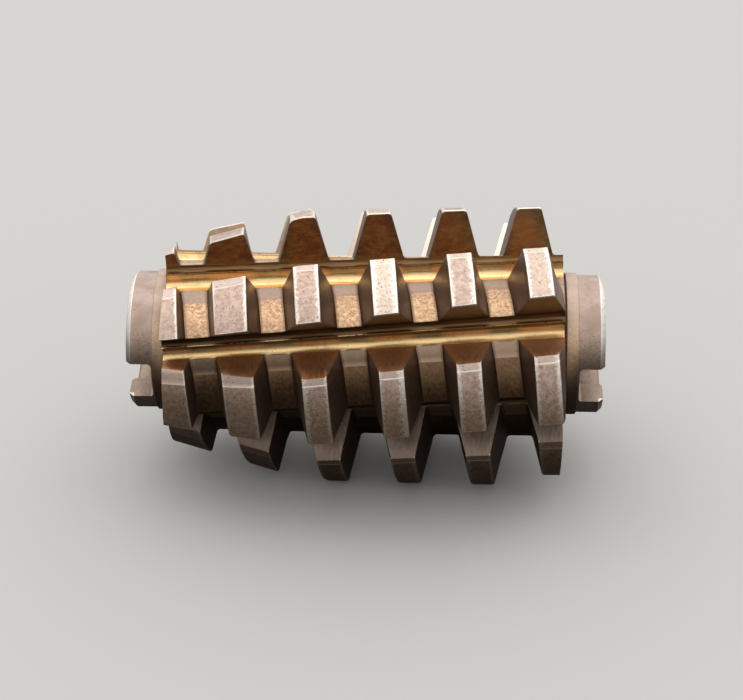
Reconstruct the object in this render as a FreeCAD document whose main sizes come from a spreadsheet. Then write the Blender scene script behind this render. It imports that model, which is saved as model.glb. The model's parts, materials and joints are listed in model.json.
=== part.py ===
import FreeCAD, Part
import math
import os

import Sketcher
from FreeCAD import Placement, Rotation, Vector

# A one-piece gear-cutting hob: a single-start right-hand thread of straight-sided
# rack teeth, cut by helical gashes into rows of relieved teeth, on a bored body
# with a ring and a slotted hub at each end.
# Frame: millimetres, X along the hob's axis, Z up, -Y towards the front.
# An angle about the axis is 0 at the front (-Y) and grows upwards (+Z).

os.makedirs("parts", exist_ok=True)
doc = FreeCAD.newDocument("hob")

DIMENSIONS = [
    ("half_length", 59.9, "half of the overall length"),
    ("teeth_left", -50.1, "left end of the toothed body"),
    ("teeth_right", 49.5, "right end of the toothed body"),
    ("undercut_width", 0.7, "groove between the teeth and the right ring"),
    ("undercut_radius", 16.6, "bottom of that groove"),
    ("hub_length", 6.6, "hub beyond its ring"),
    ("hub_radius", 17.5, "hub outside"),
    ("hub_chamfer", 1.1, "chamfer round each hub end"),
    ("ring_radius", 18.1, "ring outside"),
    ("core_radius", 19.0, "solid core below the gashes"),
    ("bore_radius", 11.0, "through bore for the arbor"),
    ("bore_chamfer", 0.8, "chamfer at each bore mouth"),
    ("slot_width", 10.4, "tenon drive slot across each end"),
    ("slot_depth", 6.3, "slot depth from the end face"),
    ("slot_fillet", 1.0, "fillet along the slot floor"),
    ("slot_angle", -10.0, "direction of both slots about the axis"),
    ("axial_pitch", 18.94, "thread pitch along the axis"),
    ("thread_phase", 7.95, "where a crest centre crosses the front, angle 0"),
    ("tip_radius", 36.4, "tooth tips at the cutting edge"),
    ("root_radius", 23.8, "tooth roots at the cutting edge"),
    ("crest_half", 3.02, "half width of a tooth crest"),
    ("flank_angle", 14.6, "pressure angle in the axial section"),
    ("relief_slope", 0.1306, "radial relief per degree behind the edge"),
    ("heel_relief", 0.034, "relief per degree of the root land's heel part"),
    ("relief_break", 25.2, "angle where the heel part of the root land starts"),
    ("gash_count", 7, "number of gashes"),
    ("edge_angle", 37.9, "angle of one row's cutting edge at mid length"),
    ("gash_twist", 0.2005, "turn of the gashes in degrees per millimetre"),
    ("crest_land", 28.6, "crest land from edge to heel, in degrees"),
    ("root_land", 36.8, "root land from edge to heel, in degrees"),
    ("root_heel_radius", 20.08, "root land's radius at its heel"),
    ("cone_end", -15.9, "where the lead-in taper reaches full height"),
    ("cone_slope", 0.264, "rise of the lead-in taper per millimetre"),
    ("end_drop", 2.6, "lowering of the last tooth beside the thread end"),
    ("cutter_overrun", 2.5, "how far the space cutters reach above the tips"),
]

# The gash floor, as distances along the next row's cutting face and ahead of it:
# a hollow floor, a lip, and the round groove left where the face was reground.
FLOOR_MIDDLE = (19.43, 3.02)
FLOOR_END = (21.2, 2.0)
GROOVE_LIP = (22.63, 1.97)
GROOVE_BOTTOM = (22.4, 1.25)
FACE_FOOT = (23.65, 0.0)

sheet = doc.addObject("Spreadsheet::Sheet", "dims")
for row, (alias, value, note) in enumerate(DIMENSIONS, start=1):
    sheet.set("A%d" % row, note)
    sheet.set("B%d" % row, str(value))
    sheet.setAlias("B%d" % row, alias)
doc.recompute()


def dim(alias):
    return float(sheet.get(alias))


# ---------------------------------------------------------------- thread geometry

EDGE_STEP = 360.0 / dim("gash_count")
FLANK_TAN = math.tan(math.radians(dim("flank_angle")))
CUTTER_TOP = dim("tip_radius") + dim("cutter_overrun")
HALF_TIP = 0.5 * dim("axial_pitch") - dim("crest_half")
HALF_ROOT = HALF_TIP - (dim("tip_radius") - dim("root_radius")) * FLANK_TAN

# Degrees behind the cutting edge where a cutter has a section: the first and the
# last are beyond the edge and the heel.
CUTTER_STATIONS = (-4.0, 4.5, 12.0, 18.5, dim("relief_break"), 33.0, 41.0)
TAPER_SECTIONS = 5
STRAIGHT_SECTIONS = 7


def polar(x, radius, angle):
    turn = math.radians(angle)
    return Vector(x, -radius * math.cos(turn), radius * math.sin(turn))


def edge_at(row, x):
    """Angle of a row's cutting edge at the place x along the axis."""
    return dim("edge_angle") + EDGE_STEP * row + dim("gash_twist") * x


def crest_centre(tooth, angle):
    """Place of a tooth's middle: the thread moves right as the angle falls."""
    return dim("thread_phase") + dim("axial_pitch") * (tooth - angle / 360.0)


def full_tip(x):
    """Tip radius at the cutting edge, with the lead-in taper on the left."""
    return dim("tip_radius") - dim("cone_slope") * max(0.0, dim("cone_end") - x)


def root_relief(behind):
    main = dim("relief_slope") * min(behind, dim("relief_break"))
    return main + dim("heel_relief") * max(0.0, behind - dim("relief_break"))


# ------------------------------------------------------- relieved and gashed blank

def heel_point(edge_angle, tip):
    """Where the crest land meets the straight heel face, as radius and angle."""
    top = (dim("tip_radius") - dim("relief_slope") * dim("crest_land"), dim("crest_land"))
    bottom = (dim("root_heel_radius"), dim("root_land"))
    share_low, share_high = 0.0, 1.0
    a = polar(0.0, top[0], top[1])
    b = polar(0.0, bottom[0], bottom[1])
    for _ in range(40):
        share = 0.5 * (share_low + share_high)
        point = a + (b - a) * share
        radius = math.hypot(point.y, point.z)
        angle = math.degrees(math.atan2(point.z, -point.y))
        if radius > tip - dim("relief_slope") * angle:
            share_low = share
        else:
            share_high = share
    return radius, edge_angle + angle


def before_face(x, face_angle, along, ahead):
    """A point given by its distance along a cutting face and ahead of it."""
    radius = math.hypot(along, ahead)
    return polar(x, radius, face_angle - math.degrees(math.atan2(ahead, along)))


def blank_section(x):
    """Cross-section of the gashed blank: seven relieved lobes."""
    edges = []
    tip = full_tip(x)
    for row in range(int(dim("gash_count"))):
        edge = edge_at(row, x)
        following = edge + EDGE_STEP
        start = polar(x, tip, edge)
        heel_radius, heel_angle = heel_point(edge, tip)
        middle_angle = 0.5 * (edge + heel_angle)
        middle = polar(x, tip - dim("relief_slope") * (middle_angle - edge), middle_angle)
        heel = polar(x, heel_radius, heel_angle)
        root_heel = polar(x, dim("root_heel_radius"), edge + dim("root_land"))
        floor_middle = before_face(x, following, *FLOOR_MIDDLE)
        floor_end = before_face(x, following, *FLOOR_END)
        lip = before_face(x, following, *GROOVE_LIP)
        groove = before_face(x, following, *GROOVE_BOTTOM)
        face_foot = before_face(x, following, *FACE_FOOT)
        next_tip = polar(x, tip, following)
        edges.append(Part.Arc(start, middle, heel).toShape())
        edges.append(Part.LineSegment(heel, root_heel).toShape())
        edges.append(Part.Arc(root_heel, floor_middle, floor_end).toShape())
        edges.append(Part.LineSegment(floor_end, lip).toShape())
        edges.append(Part.Arc(lip, groove, face_foot).toShape())
        edges.append(Part.LineSegment(face_foot, next_tip).toShape())
    return Part.Wire(edges)


def blank_between(x_from, x_to, count):
    step = (x_to - x_from) / (count - 1)
    sections = [blank_section(x_from + step * i) for i in range(count)]
    return Part.makeLoft(sections, True, False)


# ------------------------------------------------------------------- thread spaces

def space_section(row, centre_tooth, bottom, angle):
    """Axial section of a space: its floor follows the relief at each corner."""
    centre = crest_centre(centre_tooth, angle)
    corners = []
    for side in (-1, 1):
        behind = angle - edge_at(row, centre + side * HALF_ROOT)
        floor_radius = bottom(behind)
        tip = dim("tip_radius") - dim("relief_slope") * behind
        floor_x = centre + side * (HALF_TIP - (tip - floor_radius) * FLANK_TAN)
        top_x = centre + side * (HALF_TIP + (CUTTER_TOP - tip) * FLANK_TAN)
        corners.append((polar(floor_x, floor_radius, angle), polar(top_x, CUTTER_TOP, angle)))
    left, right = corners
    return Part.makePolygon([left[1], left[0], right[0], right[1], left[1]])


def thread_space(row, tooth, bottom):
    """The space between a tooth and the next one to the right, in one row."""
    nominal = crest_centre(tooth + 0.5, dim("edge_angle") + EDGE_STEP * row)
    base_angle = edge_at(row, nominal)
    sections = []
    for station in CUTTER_STATIONS:
        sections.append(space_section(row, tooth + 0.5, bottom, base_angle + station))
    return Part.makeLoft(sections, True, True)


def root_floor(behind):
    return dim("root_radius") - root_relief(behind)


def lowered_tip(behind):
    return dim("tip_radius") - dim("end_drop") - dim("relief_slope") * behind


def end_trim(row, x_from, bottom):
    """Lowers what is left of a row's last tooth, right of x_from."""
    x_to = dim("teeth_right") + dim("cutter_overrun")
    sections = []
    for station in CUTTER_STATIONS:
        angle = edge_at(row, dim("teeth_right")) + station
        corners = []
        for x in (x_from, x_to):
            floor_radius = bottom(angle - edge_at(row, x))
            corners.append((polar(x, floor_radius, angle), polar(x, CUTTER_TOP, angle)))
        left, right = corners
        sections.append(Part.makePolygon([left[1], left[0], right[0], right[1], left[1]]))
    return Part.makeLoft(sections, True, True)


def row_reaches(row, tooth):
    nominal = crest_centre(tooth + 0.5, dim("edge_angle") + EDGE_STEP * row)
    centre = crest_centre(tooth + 0.5, edge_at(row, nominal))
    margin = 0.5 * dim("axial_pitch")
    return dim("teeth_left") - margin < centre < dim("teeth_right") + margin


ROWS = range(-3, 4)
TEETH = range(-5, 6)
spaces = []
for row in ROWS:
    for tooth in TEETH:
        if row_reaches(row, tooth):
            spaces.append(thread_space(row, tooth, root_floor))

# The thread's weak end at the right is dressed: the last tooth of one row is
# shortened, and the slivers that would follow it are taken off to the root.
# Each entry is a row, the place where its trim starts and what it leaves.
END_TRIMS = ((-2, 39.5, lowered_tip), (-3, 42.0, root_floor), (3, 45.2, root_floor))
for row, x_from, bottom in END_TRIMS:
    spaces.append(end_trim(row, x_from, bottom))


# ------------------------------------------------------------ turned core and ends

def plane_of(body, role):
    for feature in body.Origin.OriginFeatures:
        if feature.Role == role:
            return feature
    raise RuntimeError("no origin plane " + role)


def closed_sketch(body, name, role, points):
    """Closed polygon whose corners are bound to the sheet by expressions."""
    sketch = body.newObject("Sketcher::SketchObject", name)
    sketch.AttachmentSupport = [(plane_of(body, role), "")]
    sketch.MapMode = "FlatFace"
    count = len(points)
    for i in range(count):
        start = Vector(points[i][0][0], points[i][1][0], 0)
        end = Vector(points[(i + 1) % count][0][0], points[(i + 1) % count][1][0], 0)
        sketch.addGeometry(Part.LineSegment(start, end), False)
    for i in range(count):
        sketch.addConstraint(Sketcher.Constraint("Coincident", i, 2, (i + 1) % count, 1))
    for i, (across, up) in enumerate(points):
        for kind, (value, formula) in (("DistanceX", across), ("DistanceY", up)):
            index = sketch.addConstraint(Sketcher.Constraint(kind, -1, 1, i, 1, value))
            sketch.setExpression("Constraints[%d]" % index, formula)
    return sketch


def sized(formula):
    """A number and the sheet formula it comes from."""
    names = {alias: dim(alias) for alias, _, _ in DIMENSIONS}
    value = 0.0
    sign = 1.0
    for word in formula.split():
        if word in "+-":
            sign = 1.0 if word == "+" else -1.0
        else:
            value += sign * (names[word] if word in names else float(word))
    bound = " ".join("dims." + word if word in names else word for word in formula.split())
    return value, bound


PROFILE = (
    ("0 - half_length", "0"),
    ("0 - half_length", "hub_radius - hub_chamfer"),
    ("0 - half_length + hub_chamfer", "hub_radius"),
    ("0 - half_length + hub_length", "hub_radius"),
    ("0 - half_length + hub_length", "ring_radius"),
    ("teeth_left", "ring_radius"),
    ("teeth_left", "core_radius"),
    ("teeth_right", "core_radius"),
    ("teeth_right", "undercut_radius"),
    ("teeth_right + undercut_width", "undercut_radius"),
    ("teeth_right + undercut_width", "ring_radius"),
    ("half_length - hub_length", "ring_radius"),
    ("half_length - hub_length", "hub_radius"),
    ("half_length - hub_chamfer", "hub_radius"),
    ("half_length", "hub_radius - hub_chamfer"),
    ("half_length", "0"),
)

core = doc.addObject("PartDesign::Body", "turned_core")
profile = closed_sketch(core, "core_profile", "XZ_Plane",
                        [(sized(across), sized(up)) for across, up in PROFILE])
turned = core.newObject("PartDesign::Revolution", "turned_ends")
turned.Profile = profile
turned.ReferenceAxis = (profile, ["H_Axis"])
turned.Angle = 360.0
doc.recompute()

SLOT_OVERSIZE = 4.0
slot_reach = dim("hub_radius") + SLOT_OVERSIZE
for side, name in ((1, "right_slot"), (-1, "left_slot")):
    corners = []
    for across, up in ((-1, -1), (1, -1), (1, 1), (-1, 1)):
        reach = (across * slot_reach, "%d * (dims.hub_radius + %g)" % (across, SLOT_OVERSIZE))
        half = (up * 0.5 * dim("slot_width"), "%g * dims.slot_width" % (0.5 * up))
        corners.append((reach, half))
    outline = closed_sketch(core, name + "_outline", "YZ_Plane", corners)
    outline.AttachmentOffset = Placement(Vector(0, 0, side * dim("half_length")),
                                         Rotation(Vector(0, 0, 1), -dim("slot_angle")))
    outline.setExpression("AttachmentOffset.Base.z", "%d * dims.half_length" % side)
    outline.setExpression("AttachmentOffset.Rotation.Angle", "-dims.slot_angle")
    pocket = core.newObject("PartDesign::Pocket", name)
    pocket.Profile = outline
    pocket.Type = "Length"
    pocket.setExpression("Length", "dims.slot_depth")
    pocket.Reversed = side < 0
    doc.recompute()

floor_at = dim("half_length") - dim("slot_depth")
floor_edges = []
for number, edge in enumerate(pocket.Shape.Edges, start=1):
    if len(edge.Vertexes) == 2 and edge.Curve.TypeId == "Part::GeomLine":
        on_floor = [abs(abs(v.X) - floor_at) < 1e-6 for v in edge.Vertexes]
        if all(on_floor) and abs(edge.Vertexes[0].X - edge.Vertexes[1].X) < 1e-6:
            floor_edges.append("Edge%d" % number)
rounded = core.newObject("PartDesign::Fillet", "slot_floor_fillets")
rounded.Base = (pocket, floor_edges)
rounded.setExpression("Radius", "dims.slot_fillet")
doc.recompute()

# --------------------------------------------------------------- the one-piece hob

left_blank = doc.addObject("Part::Feature", "taper_blank")
left_blank.Shape = blank_between(dim("teeth_left"), dim("cone_end"), TAPER_SECTIONS)
right_blank = doc.addObject("Part::Feature", "straight_blank")
right_blank.Shape = blank_between(dim("cone_end"), dim("teeth_right"), STRAIGHT_SECTIONS)
space_group = doc.addObject("Part::Feature", "thread_spaces")
space_group.Shape = Part.makeCompound(spaces)

gashed = doc.addObject("Part::MultiFuse", "gashed_blank")
gashed.Shapes = [left_blank, right_blank]
toothed = doc.addObject("Part::Cut", "relieved_teeth")
toothed.Base = gashed
toothed.Tool = space_group
body = doc.addObject("Part::MultiFuse", "solid_hob")
body.Shapes = [toothed, core]

bore = doc.addObject("Part::Cylinder", "arbor_bore")
bore.setExpression("Radius", "dims.bore_radius")
bore.setExpression("Height", "2 * dims.half_length + 2")
bore.Placement = Placement(Vector(-dim("half_length") - 1, 0, 0), Rotation(Vector(0, 1, 0), 90))
bore.setExpression("Placement.Base.x", "-dims.half_length - 1")

mouths = []
for side, name in ((1, "right_mouth"), (-1, "left_mouth")):
    mouth = doc.addObject("Part::Cone", name)
    mouth.setExpression("Radius1", "dims.bore_radius")
    mouth.setExpression("Radius2", "dims.bore_radius + dims.bore_chamfer")
    mouth.setExpression("Height", "dims.bore_chamfer")
    mouth.Placement = Placement(Vector(side * (dim("half_length") - dim("bore_chamfer")), 0, 0),
                                Rotation(Vector(0, 1, 0), 90 * side))
    mouth.setExpression("Placement.Base.x",
                        "%d * (dims.half_length - dims.bore_chamfer)" % side)
    mouths.append(mouth)
cutter = doc.addObject("Part::MultiFuse", "bore_cutter")
cutter.Shapes = [bore] + mouths

hob = doc.addObject("Part::Cut", "hob")
hob.Label = "hob"
hob.Base = body
hob.Tool = cutter
doc.recompute()

# ------------------------------------------------------------------ check and write

for item in doc.Objects:
    if "Invalid" in item.State or "Error" in item.State:
        raise RuntimeError("%s did not compute: %s" % (item.Label, item.State))
shape = hob.Shape
if shape.isNull() or not shape.isValid() or len(shape.Solids) != 1:
    raise RuntimeError("hob is not one valid solid")
print("hob: one valid solid of %.0f mm3" % shape.Volume)
shape.exportStep("parts/hob.step")
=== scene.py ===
import json
import math

import bmesh
import bpy
import numpy as np
from mathutils import Matrix, Vector

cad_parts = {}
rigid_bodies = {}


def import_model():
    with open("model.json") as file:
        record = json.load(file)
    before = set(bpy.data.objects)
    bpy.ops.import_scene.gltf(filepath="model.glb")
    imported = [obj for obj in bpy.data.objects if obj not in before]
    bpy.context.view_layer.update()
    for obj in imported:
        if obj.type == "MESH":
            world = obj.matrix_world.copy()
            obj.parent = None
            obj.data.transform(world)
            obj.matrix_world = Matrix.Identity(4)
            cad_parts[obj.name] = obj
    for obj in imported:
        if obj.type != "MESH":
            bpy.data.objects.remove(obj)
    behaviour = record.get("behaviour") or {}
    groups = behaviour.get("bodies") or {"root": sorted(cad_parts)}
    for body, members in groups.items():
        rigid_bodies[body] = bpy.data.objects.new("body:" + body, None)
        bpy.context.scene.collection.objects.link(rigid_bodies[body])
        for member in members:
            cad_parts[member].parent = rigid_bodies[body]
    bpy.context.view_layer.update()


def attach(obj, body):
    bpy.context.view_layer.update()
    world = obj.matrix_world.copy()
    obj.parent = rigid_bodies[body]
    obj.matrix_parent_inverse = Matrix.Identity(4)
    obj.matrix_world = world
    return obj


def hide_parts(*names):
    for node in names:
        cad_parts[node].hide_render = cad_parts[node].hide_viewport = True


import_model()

# Millimetres until a mesh is written. X runs along the hob's axis, Z is up, -Y is the
# front. An angle about the axis is 0 at the front and grows upwards, in degrees.
MM = 0.001
SEED = 11

# ------------------------------------------------------------------ the hob's shape

PITCH = 18.94                # from one turn of the thread to the next, along the axis
PHASE = 7.95                 # where the thread starts
TIP = 36.4                   # radius of a cutting edge
ROOT = 23.8                  # radius of the root at the cutting face
HALF = 3.02                  # half of the crest's width
TAN = math.tan(math.radians(14.6))     # of the flanks' slope
FLANK_COS = 0.968            # and its cosine
SLOPE = 0.1306               # relief: radius lost for each degree behind the edge
HEEL_SLOPE = 0.034           # the same on the root's heel part
BREAK = 25.2                 # degrees from the edge to the start of the heel part
EDGE = 37.9                  # angle of row 0's edge in the middle of the hob
TWIST = 0.2005               # degrees that the gashes turn for each mm along the axis
ROWS = 7
STEP = 360.0 / ROWS
FIRST_ROW = -3
CREST_LAND = 28.6            # degrees from the edge to the heel, on the crest
ROOT_LAND = 36.8             # and on the root
ROOT_HEEL = 20.08            # radius of the root at its heel
CONE_END = -15.9             # the lead-in taper lies to the left of this
CONE = 0.264                 # radius lost for each mm of taper
LEFT = -50.1                 # end faces of the toothed body
RIGHT = 49.5
BORE = 11.0
HELIX = 1.0 + PITCH * TWIST / 360.0    # how the twist of the gashes stretches the thread

# The gash's section, as (out, ahead): out along the radius that the next row's cutting
# face lies on, and ahead of that face. The reground face ends in a small groove, whose
# lip is the end of the old face.
FLOOR_MIDDLE = (19.43, 3.02)
FLOOR_END = (21.2, 2.0)
FLOOR_POINTS = 9
LIP_SHARE = 0.6              # a point this far from the floor's end to the lip
GROOVE_CENTRE = (23.65, 1.25)
GROOVE_RADIUS = 1.25
GROOVE_TURNS = (126.0, 119.0, 105.0, 85.0, 60.0, 35.0, 12.0)
FACE_FOOT = 23.65

# The dressed end of the thread: how far a (row, tooth) is lowered.
END_DROPS = {(-2, 2): 2.6, (-3, 2): 20.0, (3, 3): 20.0}
FIRST_TOOTH, LAST_TOOTH = -4, 3
TEETH = LAST_TOOTH - FIRST_TOOTH + 1

# Columns across one tooth are numbered from -SIDE (middle of the space on its left)
# through 0 (middle of the crest) to SIDE, which is the next tooth's -SIDE.
SIDE = 15
CREST_TANGENT, CORNER, FLANK_TOP = 5, 6, 7
FILLET, FILLET_END = 12, 13
FLANK_SHARES = (0.15, 0.45, 0.78)

# A rounded corner of radius 1: how far its ends and its middle lie from the sharp corner.
ROUND_O, ROUND_R = 0.773, 0.748
ARC_O, ARC_R = 0.161, 0.209
FLANK_O = 0.195
WORN_CORNER = 0.24
WORN_EDGE = 0.6              # added at the cutting edge
WORN_REACH = 6.0             # degrees over which that fades
WAVES = ((0.05, 0.45), (0.04, 1.1), (0.03, 2.3))
ROOT_FILLET = 0.85
LEAST_FOOT = 0.12            # a low tooth's foot is at least this much wider than its crest
CORNER_SHARE = 0.3           # the most of a tooth's height that a corner or a fillet takes
FILLET_SHARE = 0.35

chance = np.random.RandomState(SEED)
NICKS = 4
nick_at = chance.uniform(0.0, 30.0, (ROWS, TEETH + 1, 2, NICKS))
nick_wide = chance.uniform(0.5, 1.5, (ROWS, TEETH + 1, 2, NICKS))
nick_deep = 0.75 * chance.uniform(0.0, 1.0, (ROWS, TEETH + 1, 2, NICKS)) ** 4
wave_at = chance.uniform(0.0, 6.3, (ROWS, TEETH + 1, 2, 3))
tooth_tint = chance.uniform(-1.0, 1.0, (ROWS, TEETH + 1))
band_width = chance.uniform(0.25, 1.1, (ROWS, TEETH + 1, 2))

# Rubbed-bright bands along the crest's left and right edges, in mm, and the tooth's
# own brightness, where they are known: (row, tooth) -> (left, right, tint).
KNOWN_WEAR = {
    (0, -3): (0.5, 0.7, 0.5), (0, -2): (0.3, 1.0, 0.0), (0, -1): (0.9, 1.1, 0.0),
    (0, 0): (1.5, 1.5, 1.6), (0, 1): (0.9, 1.3, 0.5), (0, 2): (0.9, 1.2, 0.9),
    (-1, -3): (0.4, 0.3, -0.4), (-1, -2): (0.3, 0.8, -0.2), (-1, -1): (1.3, 0.7, 0.0),
    (-1, 0): (0.6, 1.9, 0.2), (-1, 1): (1.1, 1.0, 0.0), (-1, 2): (0.8, 1.1, 0.1),
}
for (row, tooth), (left, right, tint) in KNOWN_WEAR.items():
    band_width[row - FIRST_ROW, tooth - FIRST_TOOTH + 1] = (left, right)
    tooth_tint[row - FIRST_ROW, tooth - FIRST_TOOTH + 1] = tint


def end_drop(row, tooth):
    """How far the crest is ground down below the full height."""
    drop = np.zeros(np.broadcast(row, tooth).shape)
    for (r, t), value in END_DROPS.items():
        drop = np.where((row == r) & (tooth == t), value, drop)
    return drop


def root_radius(behind):
    """Radius of the root: relieved, and less so on its heel part."""
    relief = SLOPE * np.minimum(behind, BREAK) + HEEL_SLOPE * np.maximum(0.0, behind - BREAK)
    return ROOT - relief


def rounding(row, tooth, side, behind):
    """Radius of the worn crest corner: uneven, with a few deeper nicks."""
    pick = (row - FIRST_ROW, tooth - FIRST_TOOTH + 1, (side > 0).astype(int))
    waves = wave_at[pick]
    size = WORN_CORNER + WORN_EDGE * np.exp(-behind / WORN_REACH)
    for i, (height, often) in enumerate(WAVES):
        size = size + height * np.sin(often * behind + waves[..., i])
    gap = (behind[..., None] - nick_at[pick]) / nick_wide[pick]
    return size + (nick_deep[pick] * np.exp(-gap * gap)).sum(axis=-1)


def profile(row, tooth, column, behind):
    """A point of the section: offset from the tooth's middle, radius, and how far it is
    from the crest's corner and from the foot (negative up the flank)."""
    side = np.where(column < 0, -1.0, 1.0)
    k = np.abs(column)
    centre = (PHASE + PITCH * tooth - PITCH * (EDGE + STEP * row + behind) / 360.0) / HELIX
    dropped = end_drop(row, tooth)
    on_cone = (HALF + TAN * CONE * (CONE_END - centre)) / (1.0 + side * TAN * CONE / HELIX)
    corner = np.where(CONE_END - centre - side * on_cone / HELIX > 0.0, on_cone, HALF)
    corner = np.maximum(corner, HALF + TAN * dropped)
    full = TIP - SLOPE * behind
    root = root_radius(behind)
    foot = HALF + TAN * (full - root)
    stub = corner > foot - LEAST_FOOT
    corner = np.minimum(corner, foot - LEAST_FOOT)
    corner_r = full - (corner - HALF) / TAN
    height = corner_r - root
    worn = np.minimum(rounding(row, tooth, side, behind), CORNER_SHARE * height)
    fillet = np.minimum(ROOT_FILLET, FILLET_SHARE * height)
    tangent = corner - ROUND_O * worn
    flank_o0, flank_o1 = corner + FLANK_O * worn, foot - FLANK_O * fillet
    flank_r0, flank_r1 = corner_r - ROUND_R * worn, root + ROUND_R * fillet
    gap_end = 0.5 * PITCH
    last = foot + ROUND_O * fillet
    crest = [0.0 * corner, 0.4 * tangent, 0.7 * tangent,
             np.maximum(tangent - 0.75, 0.75 * tangent),
             np.maximum(tangent - 0.3, 0.88 * tangent), tangent]
    offsets = crest + [corner - ARC_O * worn, flank_o0]
    for share in FLANK_SHARES:
        offsets.append(flank_o0 + (flank_o1 - flank_o0) * share)
    offsets += [flank_o1, foot + ARC_O * fillet, last, 0.5 * (last + gap_end),
                gap_end + 0.0 * foot]
    radii = []
    for offset in crest:
        cone = CONE * np.maximum(0.0, CONE_END - centre - side * offset / HELIX)
        level = full - np.maximum(cone, dropped)
        radii.append(np.where(stub, corner_r, level))
    radii += [corner_r - ARC_R * worn, flank_r0]
    for share in FLANK_SHARES:
        radii.append(flank_r0 + (flank_r1 - flank_r0) * share)
    radii += [flank_r1, root + ARC_R * fillet, root, root, root]
    offset = np.choose(k, offsets)
    radius = np.choose(k, radii)
    edge = np.where(k <= CREST_TANGENT, corner - offset, (corner_r - radius) / FLANK_COS)
    edge = np.where(k == CORNER, 0.0, edge)
    below = np.where(k >= FILLET_END, offset - foot, -(radius - root))
    return side * offset, radius, edge, below


# The straight heel face, as a line through the crest's and the root's heel.
heel_top_r = TIP - SLOPE * CREST_LAND
a0, a1 = math.radians(CREST_LAND), math.radians(ROOT_LAND)
top = np.array([heel_top_r * math.cos(a0), heel_top_r * math.sin(a0)])
low = np.array([ROOT_HEEL * math.cos(a1), ROOT_HEEL * math.sin(a1)])
along = (low - top) / np.linalg.norm(low - top)
normal = np.array([-along[1], along[0]])
heel_distance = float(normal @ top)
heel_normal = math.degrees(math.atan2(normal[1], normal[0]))


def heel_radius(behind):
    """Radius of the heel face's plane."""
    return heel_distance / np.cos(np.radians(behind - heel_normal))


def arc_through(p, q, r, count):
    """Points from p to r along the circle through p, q and r, ends left out."""
    (ax, ay), (bx, by), (cx, cy) = p, q, r
    d = 2.0 * (ax * (by - cy) + bx * (cy - ay) + cx * (ay - by))
    aa, bb, cc = ax**2 + ay**2, bx**2 + by**2, cx**2 + cy**2
    ux = (aa * (by - cy) + bb * (cy - ay) + cc * (ay - by)) / d
    uy = (aa * (cx - bx) + bb * (ax - cx) + cc * (bx - ax)) / d
    start = math.atan2(ay - uy, ax - ux)
    end = math.atan2(cy - uy, cx - ux)
    sweep = (end - start + math.pi) % (2.0 * math.pi) - math.pi
    radius = math.hypot(ax - ux, ay - uy)
    steps = [start + sweep * (i + 1) / (count + 1) for i in range(count)]
    return [(ux + radius * math.cos(t), uy + radius * math.sin(t)) for t in steps]


# Stations along the land, in degrees behind the edge. The heel part's and the heel face's
# stations are shares of their length, which differs from column to column.
FIRST_LAND, LAND_STEPS = 1.3, 20
LAND_END = BREAK - 0.25
LAND = [0.42, 0.8]
LAND += [FIRST_LAND + i * (LAND_END - FIRST_LAND) / LAND_STEPS for i in range(LAND_STEPS + 1)]
LAND += [BREAK]
STEP_DOWN = 0.06             # the heel part lies this much lower than the ground part
HEEL_PART = (0.04, 0.35, 0.7)
HEEL_BEVEL = 0.3             # degrees; narrower where the heel comes close to the root's
LEAST_BEVEL, BEVEL_END, BEVEL_FADE = 0.3, 36.7, 3.0
HEEL_FACE = (0.03, 0.35, 0.7, 1.0)
root_turn = math.radians(STEP - ROOT_LAND)
root_heel = (ROOT_HEEL * math.cos(root_turn), ROOT_HEEL * math.sin(root_turn))
floor_points = arc_through(root_heel, FLOOR_MIDDLE, FLOOR_END, FLOOR_POINTS) + [FLOOR_END]
groove = []
for degrees in GROOVE_TURNS:
    t = math.radians(degrees)
    groove.append((GROOVE_CENTRE[0] - GROOVE_RADIUS * math.sin(t),
                   GROOVE_CENTRE[1] - GROOVE_RADIUS * math.cos(t)))
lip = groove[0]
floor_points.append(tuple((1.0 - LIP_SHARE) * end + LIP_SHARE * to
                          for end, to in zip(FLOOR_END, lip)))
floor_count = len(floor_points)
floor_points += groove
FACE_STATIONS = (0.0, 0.35, 0.7, 1.0)
EDGE_BEVEL = 0.28            # height of the worn bevel along the cutting edge
NO_DIP = -20.0               # marks a point that isn't in a gash
FAR_FROM_EDGE, FAR_FROM_FOOT = 20.0, 5.0
FACE_DIP = 2.2               # dip at the foot of a cutting face


def place(row, tooth, offset, behind):
    """Where a point of a tooth is: x, and its angle about the axis."""
    x = (PHASE + PITCH * tooth + offset - PITCH * (EDGE + STEP * row + behind) / 360.0) / HELIX
    return x, EDGE + STEP * row + TWIST * x + behind


row_numbers = np.arange(FIRST_ROW, FIRST_ROW + ROWS)
columns = np.tile(np.arange(-SIDE, SIDE), TEETH)
teeth = np.repeat(np.arange(FIRST_TOOTH, LAST_TOOTH + 1), 2 * SIDE)
row_of, column_of = np.meshgrid(row_numbers, columns, indexing="ij")
tooth_of = np.broadcast_to(teeth, row_of.shape)
ones = np.ones(row_of.shape)

# The angle at which each column meets the heel face, by halving.
SEARCH_FROM, HALVINGS, HEEL_GAP = 20.0, 26, 0.45
heel_at = SEARCH_FROM * ones
beyond = ROOT_LAND * ones
for _ in range(HALVINGS):
    middle = 0.5 * (heel_at + beyond)
    on_land = profile(row_of, tooth_of, column_of, middle)[1] < heel_radius(middle)
    heel_at = np.where(on_land, middle, heel_at)
    beyond = np.where(on_land, beyond, middle)
heel_at = np.minimum(heel_at, ROOT_LAND - HEEL_GAP)

layers = []


def add_layer(x, angle, radius, edge, below, behind, kind, dip=NO_DIP):
    """One station of every column, with the marks that the materials read."""
    turn = np.radians(angle)
    points = np.stack([x, -radius * np.cos(turn), radius * np.sin(turn)], axis=-1)
    layers.append((points, edge, below, behind * ones, dip * ones, kind))


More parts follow.
